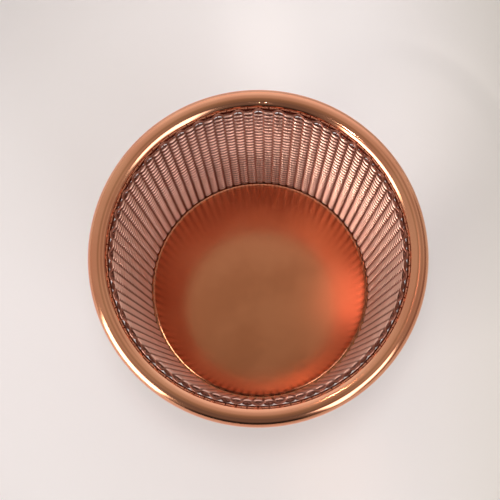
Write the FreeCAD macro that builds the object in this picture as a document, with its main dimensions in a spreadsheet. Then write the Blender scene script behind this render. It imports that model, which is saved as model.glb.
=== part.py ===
"""Round wire-mesh serving basket: a woven wire wall between a tubular rim and a pressed base plate.

The basket stands on its foot band at Z = 0 and its axis is the Z axis. All sizes are in millimetres.
"""
import FreeCAD, Part
import math
import os

import Sketcher

SIZES = {
    "overall_height": 90.0,
    "rim_radius": 45.0,
    "rim_tube_radius": 2.8,
    "tube_wall": 0.6,
    "band_thickness": 0.7,
    "mesh_radius": 38.46,
    "warp_count": 88,
    "warp_diameter": 0.3,
    "weft_count": 56,
    "weft_diameter": 0.7,
    "weave_clearance": 0.01,
    "top_weft_height": 89.0,
    "bottom_weft_height": 1.4,
    "warp_top_height": 89.4,
    "foot_inner_radius": 39.45,
    "foot_height": 3.0,
    "foot_bend_radius": 1.1,
    "foot_lip_radius": 35.6,
    "plate_radius": 37.5,
    "plate_thickness": 0.6,
    "plate_edge_height": 3.6,
    "plate_crown": 0.8,
    "plate_bend_radius": 0.9,
}
WARP_SECTORS = 11
WEFT_BANDS = 8

ORIGIN_POINT = 1
START, END, CENTRE = 1, 2, 3
V_AXIS = -2
SKETCH_ORIGIN = -1

doc = FreeCAD.newDocument("mesh_serving_basket")
sheet = doc.addObject("Spreadsheet::Sheet", "Sizes")


def fill_sheet():
    """Writes each driving size as a plain number with its name beside it and as its alias."""
    for row, (name, value) in enumerate(SIZES.items(), start=1):
        sheet.set(f"A{row}", name)
        sheet.set(f"B{row}", str(value))
        sheet.setAlias(f"B{row}", name)
    doc.recompute()


def size(name):
    """A driving size, read back from the sheet."""
    return float(sheet.get(name))


def vec(radius, height):
    """A point of a section sketch, whose axes are the radius and the height."""
    return FreeCAD.Vector(radius, height, 0)


def polar(radius, angle, height=0.0):
    """A point at a radius, an angle in radians and a height."""
    return FreeCAD.Vector(radius * math.cos(angle), radius * math.sin(angle), height)


class Section:
    """A body turned about the Z axis from one sketch in the XZ plane."""

    def __init__(self, name):
        self.body = doc.addObject("PartDesign::Body", name)
        self.body.Label = name
        self.sketch = self.body.newObject("Sketcher::SketchObject", name + "_section")
        features = self.body.Origin.OriginFeatures
        plane = next(f for f in features if f.Role == "XZ_Plane")
        self.sketch.AttachmentSupport = [(plane, "")]
        self.sketch.MapMode = "FlatFace"

    def line(self, start, end):
        return self.sketch.addGeometry(Part.LineSegment(start, end))

    def arc(self, centre, radius, first, last):
        """An arc turned anticlockwise from its first angle to its last, both in degrees."""
        circle = Part.Circle(centre, FreeCAD.Vector(0, 0, 1), radius)
        return self.sketch.addGeometry(
            Part.ArcOfCircle(circle, math.radians(first), math.radians(last))
        )

    def circle(self, centre, radius):
        return self.sketch.addGeometry(Part.Circle(centre, FreeCAD.Vector(0, 0, 1), radius))

    def rule(self, *args):
        return self.sketch.addConstraint(Sketcher.Constraint(*args))

    def measure(self, name, expression, kind, *args):
        """A named dimension that follows the sheet."""
        index = self.rule(kind, *args)
        self.sketch.renameConstraint(index, name)
        self.sketch.setExpression(f"Constraints.{name}", expression)

    def radius_at(self, name, expression, geometry, point, value):
        """The distance from the axis to one point of the section."""
        self.measure(
            name, expression, "DistanceX", SKETCH_ORIGIN, ORIGIN_POINT, geometry, point, value
        )

    def height_at(self, name, expression, geometry, point, value):
        """The height of one point of the section."""
        self.measure(
            name, expression, "DistanceY", SKETCH_ORIGIN, ORIGIN_POINT, geometry, point, value
        )

    def revolve(self):
        turn = self.body.newObject("PartDesign::Revolution", self.body.Name + "_turn")
        turn.Profile = self.sketch
        turn.ReferenceAxis = (self.sketch, ["V_Axis"])
        turn.Angle = 360
        self.body.Tip = turn
        return self.body


def rim_tube():
    """The rim: a hollow ring of round tube, which the top of the mesh stands inside and is welded to."""
    section = Section("rim_tube")
    tube, wall = size("rim_tube_radius"), size("tube_wall")
    centre = vec(size("rim_radius") - tube, size("overall_height") - tube)
    outside = section.circle(centre, tube)
    inside = section.circle(centre, tube - wall)
    section.rule("Coincident", outside, CENTRE, inside, CENTRE)
    section.radius_at(
        "ring_radius", "Sizes.rim_radius - Sizes.rim_tube_radius", outside, CENTRE, centre.x
    )
    section.height_at(
        "ring_height", "Sizes.overall_height - Sizes.rim_tube_radius", outside, CENTRE, centre.y
    )
    section.measure("tube_outside", "Sizes.rim_tube_radius", "Radius", outside, tube)
    section.measure(
        "tube_inside", "Sizes.rim_tube_radius - Sizes.tube_wall", "Radius", inside, tube - wall
    )
    return section.revolve()


def foot_band():
    """The low band round the bottom of the mesh, bent inwards into the lip that the basket stands on."""
    section = Section("foot_band")
    thickness = size("band_thickness")
    inner = size("foot_inner_radius")
    outer = inner + thickness
    edge = thickness / 2
    top = size("foot_height") - edge
    bend = size("foot_bend_radius")
    lip = size("foot_lip_radius")
    wall_outside = section.line(vec(outer, bend), vec(outer, top))
    wall_top = section.arc(vec(inner + edge, top), edge, 0, 180)
    wall_inside = section.line(vec(inner, top), vec(inner, bend))
    bend_inside = section.arc(vec(outer - bend, bend), bend - thickness, 270, 360)
    lip_top = section.line(vec(outer - bend, thickness), vec(lip, thickness))
    lip_edge = section.arc(vec(lip, edge), edge, 90, 270)
    lip_bottom = section.line(vec(lip, 0), vec(outer - bend, 0))
    bend_outside = section.arc(vec(outer - bend, bend), bend, 270, 360)
    section.rule("Tangent", wall_outside, END, wall_top, START)
    section.rule("Tangent", wall_top, END, wall_inside, START)
    section.rule("Tangent", wall_inside, END, bend_inside, END)
    section.rule("Tangent", bend_inside, START, lip_top, START)
    section.rule("Tangent", lip_top, END, lip_edge, START)
    section.rule("Tangent", lip_edge, END, lip_bottom, START)
    section.rule("Tangent", lip_bottom, END, bend_outside, START)
    section.rule("Tangent", bend_outside, END, wall_outside, START)
    section.rule("Vertical", wall_outside)
    section.rule("Horizontal", lip_bottom)
    section.rule("Coincident", bend_inside, CENTRE, bend_outside, CENTRE)
    section.measure("bend_radius", "Sizes.foot_bend_radius", "Radius", bend_outside, bend)
    section.measure("top_edge_radius", "Sizes.band_thickness / 2", "Radius", wall_top, edge)
    section.radius_at("inner_radius", "Sizes.foot_inner_radius", wall_inside, START, inner)
    section.height_at(
        "wall_height", "Sizes.foot_height - Sizes.band_thickness / 2", wall_top, CENTRE, top
    )
    section.radius_at("lip_radius", "Sizes.foot_lip_radius", lip_edge, CENTRE, lip)
    section.rule("PointOnObject", lip_bottom, START, -1)
    return section.revolve()


def base_plate():
    """The pressed base: a slightly crowned disc whose edge is bent down into a flange inside the mesh."""
    section = Section("base_plate")
    radius, thickness = size("plate_radius"), size("plate_thickness")
    bend = size("plate_bend_radius")
    crown = size("plate_crown")
    edge_height = size("plate_edge_height")
    foot = size("band_thickness")
    crown_radius = ((radius - bend) ** 2 + crown**2) / (2 * crown)
    crown_top = edge_height + crown
    crown_centre = vec(0, crown_top - crown_radius)
    lean = math.degrees(math.atan2(radius - bend, crown_radius - crown))
    bend_centre = vec(radius - bend, edge_height - bend)
    top = section.arc(crown_centre, crown_radius, 90 - lean, 90)
    bend_outside = section.arc(bend_centre, bend, 0, 90 - lean)
    flange_outside = section.line(vec(radius, edge_height - bend), vec(radius, foot))
    flange_end = section.line(vec(radius, foot), vec(radius - thickness, foot))
    flange_inside = section.line(
        vec(radius - thickness, foot), vec(radius - thickness, edge_height - bend)
    )
    bend_inside = section.arc(bend_centre, bend - thickness, 0, 90 - lean)
    underside = section.arc(crown_centre, crown_radius - thickness, 90 - lean, 90)
    axis = section.line(vec(0, crown_top - thickness), vec(0, crown_top))
    section.rule("Coincident", axis, END, top, END)
    section.rule("Tangent", top, START, bend_outside, END)
    section.rule("Tangent", bend_outside, START, flange_outside, START)
    section.rule("Coincident", flange_outside, END, flange_end, START)
    section.rule("Coincident", flange_end, END, flange_inside, START)
    section.rule("Tangent", flange_inside, END, bend_inside, START)
    section.rule("Tangent", bend_inside, END, underside, START)
    section.rule("Coincident", underside, END, axis, START)
    section.rule("Coincident", top, CENTRE, underside, CENTRE)
    section.rule("PointOnObject", top, CENTRE, V_AXIS)
    section.rule("PointOnObject", top, END, V_AXIS)
    section.rule("PointOnObject", underside, END, V_AXIS)
    section.rule("Vertical", flange_outside)
    section.rule("Horizontal", flange_end)
    section.rule("Coincident", bend_inside, CENTRE, bend_outside, CENTRE)
    section.measure("bend_radius", "Sizes.plate_bend_radius", "Radius", bend_outside, bend)
    section.measure(
        "inner_bend_radius",
        "Sizes.plate_bend_radius - Sizes.plate_thickness",
        "Radius",
        bend_inside,
        bend - thickness,
    )
    section.radius_at("flange_radius", "Sizes.plate_radius", flange_outside, END, radius)
    section.height_at("flange_foot", "Sizes.band_thickness", flange_outside, END, foot)
    section.height_at(
        "bend_height",
        "Sizes.plate_edge_height - Sizes.plate_bend_radius",
        bend_outside,
        CENTRE,
        edge_height - bend,
    )
    section.height_at(
        "crown_height", "Sizes.plate_edge_height + Sizes.plate_crown", top, END, crown_top
    )
    return section.revolve()


def warp_wires(sector):
    """One sector of the wall's upright wires, each standing on the foot band's lip."""
    per_sector = round(size("warp_count")) // WARP_SECTORS
    pitch = 2 * math.pi / size("warp_count")
    wires = []
    for step in range(per_sector):
        number = sector * per_sector + step
        wire = doc.addObject("Part::Cylinder", f"warp_{number + 1}")
        wire.setExpression("Radius", "Sizes.warp_diameter / 2")
        wire.setExpression("Height", "Sizes.warp_top_height - Sizes.band_thickness")
        foot = polar(size("mesh_radius"), number * pitch, size("band_thickness"))
        wire.Placement = FreeCAD.Placement(foot, FreeCAD.Rotation())
        wires.append(wire)
    group = doc.addObject("Part::Compound", f"warp_wires_{sector + 1}")
    group.Links = wires
    group.Label = group.Name
    return group


def weft_ring():
    """A level ring of wire at Z = 0 that bends in and out past the upright wires, one after another."""
    mean = size("mesh_radius")
    count = round(size("warp_count"))
    wire_radius = size("weft_diameter") / 2
    touch = wire_radius + size("warp_diameter") / 2 + size("weave_clearance")
    half_pitch = mean * math.tan(math.pi / count)
    swing = touch * half_pitch / math.sqrt(half_pitch**2 - touch**2)
    bends = [
        polar(mean + (swing if number % 2 else -swing), 2 * math.pi * number / count)
        for number in range(count)
    ]
    seam = (bends[-1] + bends[0]) / 2
    path = Part.makePolygon([seam] + bends + [seam])
    end_circle = Part.makeCircle(wire_radius, seam, bends[0] - seam)
    mitred = 1
    return path.makePipeShell([Part.Wire(end_circle)], True, False, mitred)


def weft_wires(band, ring):
    """One band of the wall's level rings. Each ring is turned one upright wire on from the ring below."""
    count = round(size("weft_count"))
    per_band = count // WEFT_BANDS
    low = size("bottom_weft_height")
    rise = (size("top_weft_height") - low) / (count - 1)
    turn = 360 / size("warp_count")
    rings = []
    for number in range(band * per_band, (band + 1) * per_band):
        copy = ring.copy()
        copy.Placement = FreeCAD.Placement(
            FreeCAD.Vector(0, 0, low + number * rise),
            FreeCAD.Rotation(FreeCAD.Vector(0, 0, 1), turn * (number % 2)),
        )
        rings.append(copy)
    group = doc.addObject("Part::Feature", f"weft_wires_{band + 1}")
    group.Label = group.Name
    group.Shape = Part.makeCompound(rings)
    group.Placement = FreeCAD.Placement()
    return group


def check(pieces):
    """Stops if any object failed to compute or any piece's shape is empty or broken."""
    for item in doc.Objects:
        if {"Invalid", "Error"} & set(item.State):
            raise RuntimeError(f"{item.Name} did not compute: {item.State}")
    for piece in pieces:
        if piece.Shape.isNull() or not piece.Shape.isValid():
            raise RuntimeError(f"{piece.Label} has no valid shape")


def export(pieces):
    """Writes each piece to its own file, named by its label."""
    os.makedirs("parts", exist_ok=True)
    for piece in pieces:
        piece.Shape.exportStep(os.path.join("parts", piece.Label + ".step"))
        print(f"{piece.Label}: {len(piece.Shape.Solids)} solids, {piece.Shape.Volume:.1f} mm3")


fill_sheet()
pieces = [rim_tube(), foot_band(), base_plate()]
pieces += [warp_wires(sector) for sector in range(WARP_SECTORS)]
one_ring = weft_ring()
pieces += [weft_wires(band, one_ring) for band in range(WEFT_BANDS)]
doc.recompute()
check(pieces)
export(pieces)
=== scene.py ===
"""Looks of the round wire-mesh serving basket: its wires, rim, base and plating, and a studio round it."""
import math

import bpy
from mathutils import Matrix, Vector


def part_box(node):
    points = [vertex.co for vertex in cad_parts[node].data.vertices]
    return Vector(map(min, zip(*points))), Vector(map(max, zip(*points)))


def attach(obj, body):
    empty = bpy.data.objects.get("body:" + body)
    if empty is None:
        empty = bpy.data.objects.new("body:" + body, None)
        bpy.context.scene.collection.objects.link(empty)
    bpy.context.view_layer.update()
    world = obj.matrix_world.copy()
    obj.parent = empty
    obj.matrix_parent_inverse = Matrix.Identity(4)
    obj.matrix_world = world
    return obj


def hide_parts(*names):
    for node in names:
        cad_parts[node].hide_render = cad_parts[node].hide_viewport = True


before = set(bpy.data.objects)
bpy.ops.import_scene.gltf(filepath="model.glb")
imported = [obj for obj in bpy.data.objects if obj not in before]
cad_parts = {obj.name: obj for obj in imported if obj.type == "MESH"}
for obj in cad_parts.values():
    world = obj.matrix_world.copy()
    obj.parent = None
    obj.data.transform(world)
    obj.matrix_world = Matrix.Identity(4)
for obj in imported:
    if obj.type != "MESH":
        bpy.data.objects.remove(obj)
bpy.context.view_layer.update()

MM = 0.001

# How the wall is woven. The warps are the upright wires and the wefts the level ones.
# The counts and the wire sizes are those of the CAD wires.
WARP_COUNT = 88
WARPS_PER_NODE = 8
WEFT_COUNT = 56
WEFTS_PER_NODE = 7
WARP_RADIUS = 0.15 * MM
WEFT_RADIUS = 0.35 * MM
WARP_PITCH = 2 * math.pi / WARP_COUNT

# Each wire swings to both sides of the wall's mean radius. A warp gives way a little at each weft.
WARP_CRIMP = 0.04 * MM
WEFT_SWING = WEFT_RADIUS + WARP_RADIUS - WARP_CRIMP
# A smooth route swings a third as far as points that pull it to one side and the other in turn, so
# a warp's points swing three times as far as the warp does.
SMOOTHING = 3
# How far to each side of a warp a weft stays at its full swing, as a share of the pitch.
FLAT_SHARE = 0.30

# The gap between the outermost wefts and the rim tube, and the sheet metal's sizes. The foot's lip
# radius is to the middle of its rounded edge.
WELD_GAP = 0.015 * MM
BAND_THICKNESS = 0.7 * MM
FOOT_BEND = 1.1 * MM
FOOT_LIP_RADIUS = 35.6 * MM
PLATE_THICKNESS = 0.6 * MM
PLATE_BEND = 0.9 * MM
PLATE_CROWN = 0.8 * MM


# ---------------------------------------------------------------- node trees


class Tree:
    """A short way to write a node tree."""

    def __init__(self, tree):
        self.tree = tree
        tree.nodes.clear()

    def add(self, kind, inputs=None, **settings):
        """A new node, with its inputs and settings."""
        node = self.tree.nodes.new(kind)
        for name, value in settings.items():
            setattr(node, name, value)
        for name, value in (inputs or {}).items():
            self.put(node.inputs[name], value)
        return node

    def put(self, socket, value):
        """Links another node's output to a socket, or sets the socket's value."""
        if isinstance(value, bpy.types.NodeSocket):
            self.tree.links.new(value, socket)
        else:
            socket.default_value = value

    def math(self, operation, first, second=0.0):
        node = self.add("ShaderNodeMath", {0: first, 1: second}, operation=operation)
        return node.outputs[0]

    def dot(self, vector, direction):
        inputs = {0: vector, 1: direction}
        return self.add("ShaderNodeVectorMath", inputs, operation="DOT_PRODUCT").outputs["Value"]

    def ramp(self, value, low, high, to_low=0.0, to_high=1.0, smooth=True):
        """A value that goes from to_low to to_high while the given one goes from low to high."""
        kind = "SMOOTHSTEP" if smooth else "LINEAR"
        inputs = {
            "Value": value,
            "From Min": low,
            "From Max": high,
            "To Min": to_low,
            "To Max": to_high,
        }
        return self.add("ShaderNodeMapRange", inputs, interpolation_type=kind).outputs["Result"]

    def mix(self, factor, first, second):
        """The first colour where the factor is 0 and the second where it is 1."""
        node = self.add("ShaderNodeMix", data_type="RGBA")
        factor_socket, first_socket, second_socket = node.inputs[0], node.inputs[6], node.inputs[7]
        self.put(factor_socket, factor)
        self.put(first_socket, first)
        self.put(second_socket, second)
        return node.outputs[2]

    def noise(self, vector, scale, detail=3.0):
        inputs = {"Vector": vector, "Scale": scale, "Detail": detail}
        return self.add("ShaderNodeTexNoise", inputs).outputs["Fac"]


def rgb(red, green, blue):
    """A colour with its alpha."""
    return (red, green, blue, 1.0)


# ---------------------------------------------------------------- materials

# Painted shade, mixed into the copper in recesses and where the wefts cross.
PAINTED_SHADE = rgb(0.30, 0.11, 0.075)
GRAIN_SCALE = 2500.0
GRAIN_DEPTH = 0.02 * MM
PATCH_SCALE = 60.0


def clear_of_recess(tree, place, radius, core, edge):
    """0 up to core away from a radius round the basket's axis, growing to 1 at edge away from it; painted
    shade goes where it is low.
    """
    flat = tree.add("ShaderNodeVectorMath", {0: place, 1: (1.0, 1.0, 0.0)}, operation="MULTIPLY")
    length = tree.add("ShaderNodeVectorMath", {0: flat.outputs["Vector"]}, operation="LENGTH")
    offset = tree.math("SUBTRACT", length.outputs["Value"], radius)
    return tree.ramp(tree.math("ABSOLUTE", offset), core, edge)


def clear_of_crossings(tree, place, core, edge):
    """1 up to core away from a warp, falling to 0 at edge, where the wefts cross over, both in pitches;
    painted shade goes where it is low.
    """
    axes = tree.add("ShaderNodeSeparateXYZ", {0: place}).outputs
    turn = tree.math("ARCTAN2", axes["Y"], axes["X"])
    pitches = tree.math("MULTIPLY", turn, 1 / WARP_PITCH)
    return tree.ramp(tree.math("PINGPONG", pitches, 0.5), edge, core)


def plated_metal(name, deep, light, roughness, spread, bump=0.0, recess=None, crossings=None):
    """Copper plating: a tone that drifts from deep to light, uneven gloss, and painted shade in a recess and
    where the wefts cross, where given.
    """
    material = bpy.data.materials.new(name)
    material.use_nodes = True
    tree = Tree(material.node_tree)
    place = tree.add("ShaderNodeTexCoord").outputs["Object"]
    patches = tree.noise(place, PATCH_SCALE)
    tone = tree.mix(tree.ramp(patches, 0.35, 0.65), deep, light)
    # Painted shade where the surface lies in a recess.
    if recess:
        tone = tree.mix(clear_of_recess(tree, place, *recess), PAINTED_SHADE, tone)
    # Painted shade between the columns, where the wefts cross between warps.
    if crossings:
        tone = tree.mix(clear_of_crossings(tree, place, *crossings), PAINTED_SHADE, tone)
    gloss = tree.ramp(patches, 0.30, 0.70, roughness - spread, roughness + spread)
    surface = tree.add("ShaderNodeBsdfPrincipled", {"Metallic": 1.0})
    tree.put(surface.inputs["Base Color"], tone)
    tree.put(surface.inputs["Roughness"], gloss)
    if bump:
        grain = tree.noise(place, GRAIN_SCALE, 2.0)
        relief = tree.add("ShaderNodeBump", {"Strength": bump, "Distance": GRAIN_DEPTH})
        tree.put(relief.inputs["Height"], grain)
        tree.put(surface.inputs["Normal"], relief.outputs["Normal"])
    output = tree.add("ShaderNodeOutputMaterial")
    tree.put(output.inputs["Surface"], surface.outputs[0])
    return material


def pale_surface():
    """The plain pale table top: pinker on the left, browner on the right as painted shade, and painted light,
    a soft emitted glow in a ring that leaves painted shadow at the basket's foot.
    """
    material = bpy.data.materials.new("pale_surface")
    material.use_nodes = True
    tree = Tree(material.node_tree)
    place = tree.add("ShaderNodeTexCoord").outputs["Object"]
    axes = tree.add("ShaderNodeSeparateXYZ", {0: place}).outputs
    distance = tree.add("ShaderNodeVectorMath", {0: place}, operation="LENGTH").outputs["Value"]
    left = tree.mix(tree.noise(place, 6.0, 1.0), rgb(0.89, 0.81, 0.81), rgb(0.87, 0.82, 0.81))
    # The browner right side is painted shade.
    right = rgb(0.73, 0.67, 0.61)
    tone = tree.mix(tree.ramp(axes["X"], 30 * MM, 120 * MM), left, right)
    surface = tree.add("ShaderNodeBsdfPrincipled", {"Roughness": 0.6})
    tree.put(surface.inputs["Base Color"], tone)
    # The floor glows by its own emission: painted light, left out near the basket's foot as painted shadow
    # and fading out far away.
    tree.put(surface.inputs["Emission Color"], tone)
    past_basket = tree.ramp(distance, 45 * MM, 65 * MM)
    before_edge = tree.ramp(distance, 170 * MM, 100 * MM)
    glow = tree.math("MULTIPLY", past_basket, before_edge)
    tree.put(surface.inputs["Emission Strength"], tree.math("MULTIPLY", glow, 0.20))
    output = tree.add("ShaderNodeOutputMaterial")
    tree.put(output.inputs["Surface"], surface.outputs[0])
    return material


# ---------------------------------------------------------------- shapes


def arc(radius, height, size, first, last, steps):
    """Points of a section along an arc, from one angle to another in degrees, both ends included."""
    angles = [math.radians(first + (last - first) * step / steps) for step in range(steps + 1)]
    return [(radius + size * math.cos(a), height + size * math.sin(a)) for a in angles]


def lathe(name, outline, material, sides=360):
    """Turns a section round the Z axis. It is a closed loop, or it starts and ends on the axis."""
    on_axis = outline[0][0] == 0.0
    vertices, rings = [], []
    for radius, height in outline:
        if radius == 0.0:
            rings.append([len(vertices)] * sides)
            vertices.append((0.0, 0.0, height))
            continue
        rings.append(range(len(vertices), len(vertices) + sides))
        for side in range(sides):
            angle = 2 * math.pi * side / sides
            vertices.append((radius * math.cos(angle), radius * math.sin(angle), height))
    pairs = list(zip(rings, rings[1:]))
    if not on_axis:
        pairs.append((rings[-1], rings[0]))
    faces = []
    for here, there in pairs:
        for side in range(sides):
            after = (side + 1) % sides
            corners = (here[side], here[after], there[after], there[side])
            faces.append(tuple(dict.fromkeys(corners)))
    mesh = bpy.data.meshes.new(name)
    mesh.from_pydata(vertices, [], faces)
    mesh.validate()
    mesh.shade_smooth()
    piece = bpy.data.objects.new(name, mesh)
    mesh.materials.append(material)
    bpy.context.scene.collection.objects.link(piece)
    return piece


def wire_object(name, routes, radius, cyclic, material):
    """Round wires along smooth routes, joined as one object."""
    curve = bpy.data.curves.new(name, "CURVE")
    curve.dimensions = "3D"
    curve.bevel_depth = radius
    curve.bevel_resolution = 2
    curve.use_fill_caps = not cyclic
    for route in routes:
        spline = curve.splines.new("NURBS")
        spline.points.add(len(route) - 1)
        for point, place in zip(spline.points, route):
            point.co = (*place, 1.0)
        spline.use_cyclic_u = cyclic
        spline.use_endpoint_u = not cyclic
        spline.order_u = 4
        spline.resolution_u = 3 if cyclic else 2
        spline.use_smooth = True
    curve.materials.append(material)
    piece = bpy.data.objects.new(name, curve)
    bpy.context.scene.collection.objects.link(piece)
    return piece


def finish_piece(piece, node):
    """Every piece of the basket rides on its one body and stands for its CAD node."""
    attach(piece, "root")
    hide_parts(node)


# ---------------------------------------------------------------- the basket


def rim_tube(material):
    """The polished ring at the top."""
    low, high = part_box("rim_tube")
    tube = (high.z - low.z) / 2
    outline = arc(high.x - tube, high.z - tube, tube, 0, 360, 72)[:-1]
    piece = lathe("rim_tube_ring", outline, material, 720)
    finish_piece(piece, "rim_tube")


def foot_band(material):
    """The ring at the bottom: an upright band that bends into a level lip, both with rounded edges."""
    low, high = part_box("foot_band")
    edge = BAND_THICKNESS / 2
    bend_axis = high.x - FOOT_BEND
    outline = arc(high.x - edge, high.z - edge, edge, 0, 180, 12)
    outline += arc(bend_axis, low.z + FOOT_BEND, FOOT_BEND - BAND_THICKNESS, 360, 270, 8)
    outline += arc(FOOT_LIP_RADIUS, low.z + edge, edge, 90, 270, 12)
    outline += arc(bend_axis, low.z + FOOT_BEND, FOOT_BEND, 270, 360, 12)
    piece = lathe("foot_band_ring", outline, material)
    finish_piece(piece, "foot_band")


def base_plate(material):
    """The crowned disc, its rounded edge and its flange. The crown's radius follows from its rise."""
    low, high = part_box("base_plate")
    reach = high.x - PLATE_BEND
    crown = (reach**2 + PLATE_CROWN**2) / (2 * PLATE_CROWN)
    centre = high.z - crown
    lean = math.degrees(math.asin(reach / crown))
    bend_height = high.z - PLATE_CROWN - PLATE_BEND
    top = arc(0.0, centre, crown, 90, 90 - lean, 24)
    bend = arc(reach, bend_height, PLATE_BEND, 90 - lean, 0, 10)
    foot = [(high.x, low.z), (high.x - PLATE_THICKNESS, low.z)]
    inner_bend = arc(reach, bend_height, PLATE_BEND - PLATE_THICKNESS, 0, 90 - lean, 6)
    underside = arc(0.0, centre, crown - PLATE_THICKNESS, 90 - lean, 90, 12)
    top[0] = (0.0, high.z)
    underside[-1] = (0.0, high.z - PLATE_THICKNESS)
    outline = top + bend[1:] + foot + inner_bend + underside[1:]
    piece = lathe("base_plate_disc", outline, material)
    finish_piece(piece, "base_plate")


def rim_inner_edge():
    """The radius of the rim tube's inner edge."""
    low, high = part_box("rim_tube")
    return high.x - (high.z - low.z)


def weft_heights():
    """The heights of all the wefts, spaced evenly from the lowest to the highest."""
    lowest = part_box("weft_wires_1")[0].z + WEFT_RADIUS
    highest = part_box(f"weft_wires_{WEFT_COUNT // WEFTS_PER_NODE}")[1].z - WEFT_RADIUS
    rise = (highest - lowest) / (WEFT_COUNT - 1)
    return [lowest + row * rise for row in range(WEFT_COUNT)]


def on_wall(radius, pitches, height):
    """A point of the wall, its angle counted in pitches between warps."""
    angle = pitches * WARP_PITCH
    return (radius * math.cos(angle), radius * math.sin(angle), height)


def warp_wires(material, mean):
    """The upright wires, each pressed a little in and out by the level wires that pass it."""
    low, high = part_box("warp_wires_1")
    heights = [low.z] + weft_heights() + [high.z]
    swing = SMOOTHING * WARP_CRIMP
    for node in range(WARP_COUNT // WARPS_PER_NODE):
        routes = []
        for number in range(node * WARPS_PER_NODE, (node + 1) * WARPS_PER_NODE):
            route = []
            for point, height in enumerate(heights):
                outwards = (number + point) % 2 == 1
                radius = mean + swing if outwards else mean - swing
                route.append(on_wall(radius, number, height))
            routes.append(route)
        piece = wire_object(f"warp_wires_{node + 1}_crimped", routes, WARP_RADIUS, False, material)
        finish_piece(piece, f"warp_wires_{node + 1}")


def weft_wires(material, mean):
    """The level rings, each passing inside one upright wire and outside the next."""
    heights = weft_heights()
    for node in range(WEFT_COUNT // WEFTS_PER_NODE):
        routes = []
        for row in range(node * WEFTS_PER_NODE, (node + 1) * WEFTS_PER_NODE):
            route = []
            for number in range(WARP_COUNT):
                inwards = (number + row) % 2 == 0
                radius = mean - WEFT_SWING if inwards else mean + WEFT_SWING
                for step in (-FLAT_SHARE, 0.0, FLAT_SHARE):
                    route.append(on_wall(radius, number + step, heights[row]))
            routes.append(route)
        piece = wire_object(f"weft_wires_{node + 1}_crimped", routes, WEFT_RADIUS, True, material)
        finish_piece(piece, f"weft_wires_{node + 1}")


# ---------------------------------------------------------------- the studio


def direction(azimuth, elevation):
    """A unit vector, with the azimuth turned from +X towards +Y, both in degrees."""
    flat = math.cos(math.radians(elevation))
    turn = math.radians(azimuth)
    return Vector((flat * math.cos(turn), flat * math.sin(turn), math.sin(math.radians(elevation))))


def panel_mask(tree, sky, azimuth, elevation, width, height, softness):
    """1 inside a panel that stands square to a direction, with its half width and half height as tangents."""
    ahead = direction(azimuth, elevation)
    up = direction(azimuth, elevation + 90)
    right = ahead.cross(up)
    depth = tree.dot(sky, ahead)
    safe_depth = tree.math("MAXIMUM", depth, 0.01)
    across = tree.math("ABSOLUTE", tree.math("DIVIDE", tree.dot(sky, right), safe_depth))
    along = tree.math("ABSOLUTE", tree.math("DIVIDE", tree.dot(sky, up), safe_depth))
    inside_width = tree.ramp(across, width - softness, width + softness, 1.0, 0.0)
    inside_height = tree.ramp(along, height - softness, height + softness, 1.0, 0.0)
    in_front = tree.ramp(depth, 0.02, 0.06)
    return tree.math("MULTIPLY", tree.math("MULTIPLY", inside_width, inside_height), in_front)


# Parts of the room that are darker or lighter than the rest, painted over it in this order.
PANELS = (
    # azimuth, elevation, half width, half height, softness, colour
    (0, 52, 0.60, 0.22, 0.10, rgb(0.38, 0.34, 0.30)),  # the wall on the right
    (266, 50, 0.44, 0.45, 0.25, rgb(0.17, 0.16, 0.15)),  # whoever stands near by, from the waist up
    (90, 88, 0.18, 0.17, 0.12, rgb(0.34, 0.32, 0.26)),  # the ceiling, straight above
    (268, 78, 0.17, 0.17, 0.12, rgb(0.24, 0.22, 0.18)),  # the ceiling's near side
    (266, 4, 0.46, 0.42, 0.16, rgb(0.030, 0.032, 0.030)),  # whoever stands near by, up to the waist
    (213, 14, 0.30, 0.40, 0.05, rgb(6.5, 6.4, 6.1)),  # the window on the left
    (313, 29, 0.26, 0.36, 0.06, rgb(3.8, 4.0, 4.2)),  # the window on the right
    (348, 8, 0.80, 0.32, 0.15, rgb(0.26, 0.22, 0.20)),  # the lower wall on the right
)

WINDOW_LIGHT = (1.0, 0.97, 0.92)
LAMP_DISTANCE = 600 * MM
SNOOTS = (
    # target in mm, azimuth, elevation, power, spread in degrees, lamp radius in mm, colour, shadows
    ((24, 26, 55), 225, 55, 10.0, 5.0, 15, WINDOW_LIGHT, True),  # the wall at the far right
    ((-2, 37, 62), 268, 48, 5.0, 3.4, 8, WINDOW_LIGHT, True),  # the far wall
    ((-38, -4, 90), 345, 34, 2.5, 3.0, 8, WINDOW_LIGHT, True),  # the top of the left wall
    ((14, -34, 52), 112, 58, 4.0, 4.6, 12, (1.0, 0.60, 0.40), True),  # the near wall
    ((33, -5, 4), 26, 79, 0.08, 10, 40, (1.0, 0.45, 0.38), False),  # the right of the base
)

# The room from the near side (-Y) to the far side (+Y): how far along, and its light there.
ROOM = (
    (0.00, rgb(0.20, 0.19, 0.18)),
    (0.20, rgb(0.30, 0.28, 0.26)),
    (0.40, rgb(0.42, 0.39, 0.36)),
    (0.52, rgb(0.52, 0.48, 0.44)),
    (0.68, rgb(0.54, 0.52, 0.48)),
    (0.82, rgb(0.64, 0.64, 0.62)),
    (0.92, rgb(0.90, 0.94, 0.97)),
    (1.00, rgb(1.00, 1.06, 1.12)),
)


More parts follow.
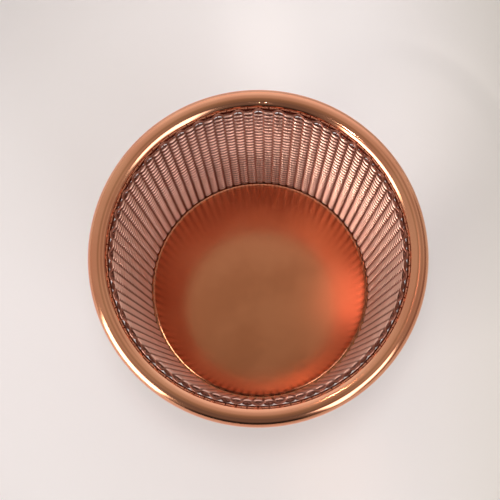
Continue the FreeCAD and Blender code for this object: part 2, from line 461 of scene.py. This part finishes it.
def studio_world():
    """Soft light that grows from the near side to the far side, with the panels in it."""
    world = bpy.data.worlds.new("studio")
    bpy.context.scene.world = world
    world.use_nodes = True
    tree = Tree(world.node_tree)
    sky = tree.add("ShaderNodeTexCoord").outputs["Generated"]
    along = tree.ramp(tree.dot(sky, (0.0, 1.0, 0.0)), -1.0, 1.0, smooth=False)
    room = tree.add("ShaderNodeValToRGB", {"Fac": along})
    stops = room.color_ramp.elements
    while len(stops) < len(ROOM):
        stops.new(0.5)
    for stop, (position, light) in zip(stops, ROOM):
        stop.position = position
        stop.color = light
    colour = room.outputs["Color"]
    for azimuth, elevation, width, tall, softness, light in PANELS:
        mask = panel_mask(tree, sky, azimuth, elevation, width, tall, softness)
        colour = tree.mix(mask, colour, light)
    background = tree.add("ShaderNodeBackground", {"Strength": 1.0})
    tree.put(background.inputs["Color"], colour)
    output = tree.add("ShaderNodeOutputWorld")
    tree.put(output.inputs["Surface"], background.outputs[0])


def floor(material):
    """The wide level surface that the basket stands on."""
    mesh = bpy.data.meshes.new("floor")
    half = 3000 * MM
    corners = [(-half, -half, 0.0), (half, -half, 0.0), (half, half, 0.0), (-half, half, 0.0)]
    mesh.from_pydata(corners, [], [(0, 1, 2, 3)])
    mesh.materials.append(material)
    table = bpy.data.objects.new("floor", mesh)
    bpy.context.scene.collection.objects.link(table)


def snoots():
    """Narrow, soft beams into the basket: where each one lands, and where it comes from."""
    for number, (target, azimuth, elevation, power, spread, width, colour, shadows) in enumerate(SNOOTS):
        data = bpy.data.lights.new(f"snoot_{number + 1}", "SPOT")
        data.energy = power
        data.color = colour
        data.use_shadow = shadows
        data.cycles.use_multiple_importance_sampling = shadows
        data.spot_size = math.radians(spread)
        data.spot_blend = 1.0
        data.shadow_soft_size = width * MM
        lamp = bpy.data.objects.new(data.name, data)
        lamp.location = Vector(target) * MM + LAMP_DISTANCE * direction(azimuth, elevation)
        lamp.rotation_euler = direction(azimuth, elevation).to_track_quat("Z", "Y").to_euler()
        bpy.context.scene.collection.objects.link(lamp)


def camera():
    """Nearly straight down, from above the near side of the rim."""
    rim_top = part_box("rim_tube")[1].z
    data = bpy.data.cameras.new("camera")
    data.sensor_width = 36.0
    data.lens = 69.64
    data.shift_x = -0.030
    data.shift_y = 0.022
    data.clip_start = 0.01
    eye = bpy.data.objects.new("camera", data)
    eye.location = (1.8 * MM, -35.4 * MM, rim_top + 250.4 * MM)
    eye.rotation_euler = (math.radians(7.61), 0.0, 0.0)
    bpy.context.scene.collection.objects.link(eye)
    bpy.context.scene.camera = eye


tube_edge = rim_inner_edge()
mean_radius = tube_edge - WELD_GAP - WEFT_RADIUS - WEFT_SWING
polished = plated_metal(
    "polished_copper",
    deep=rgb(0.84, 0.35, 0.20),
    light=rgb(0.88, 0.40, 0.23),
    roughness=0.12,
    spread=0.03,
    # Painted shade along the tube's inner edge, above the mesh.
    recess=(tube_edge, 0.18 * MM, 0.40 * MM),
)
satin = plated_metal(
    "satin_copper",
    deep=rgb(0.82, 0.30, 0.15),
    light=rgb(0.90, 0.35, 0.18),
    roughness=0.15,
    spread=0.02,
    bump=0.2,
)
wire = plated_metal(
    "copper_wire",
    # Paler and pinker than the rim's copper, as a painted highlight for the wires' fine sparkles; it is the
    # same plating.
    deep=rgb(0.92, 0.53, 0.42),
    light=rgb(0.96, 0.58, 0.47),
    roughness=0.36,
    spread=0.04,
    # Painted shade on the passes that lie back in the wall, and between the columns where the wefts cross.
    recess=(mean_radius + 0.12 * MM, 0.34 * MM, 0.60 * MM),
    crossings=(0.26, 0.50),
)

rim_tube(polished)
foot_band(polished)
base_plate(satin)
warp_wires(wire, mean_radius)
weft_wires(wire, mean_radius)
studio_world()
floor(pale_surface())
snoots()
camera()

bpy.context.scene.view_settings.view_transform = "Standard"
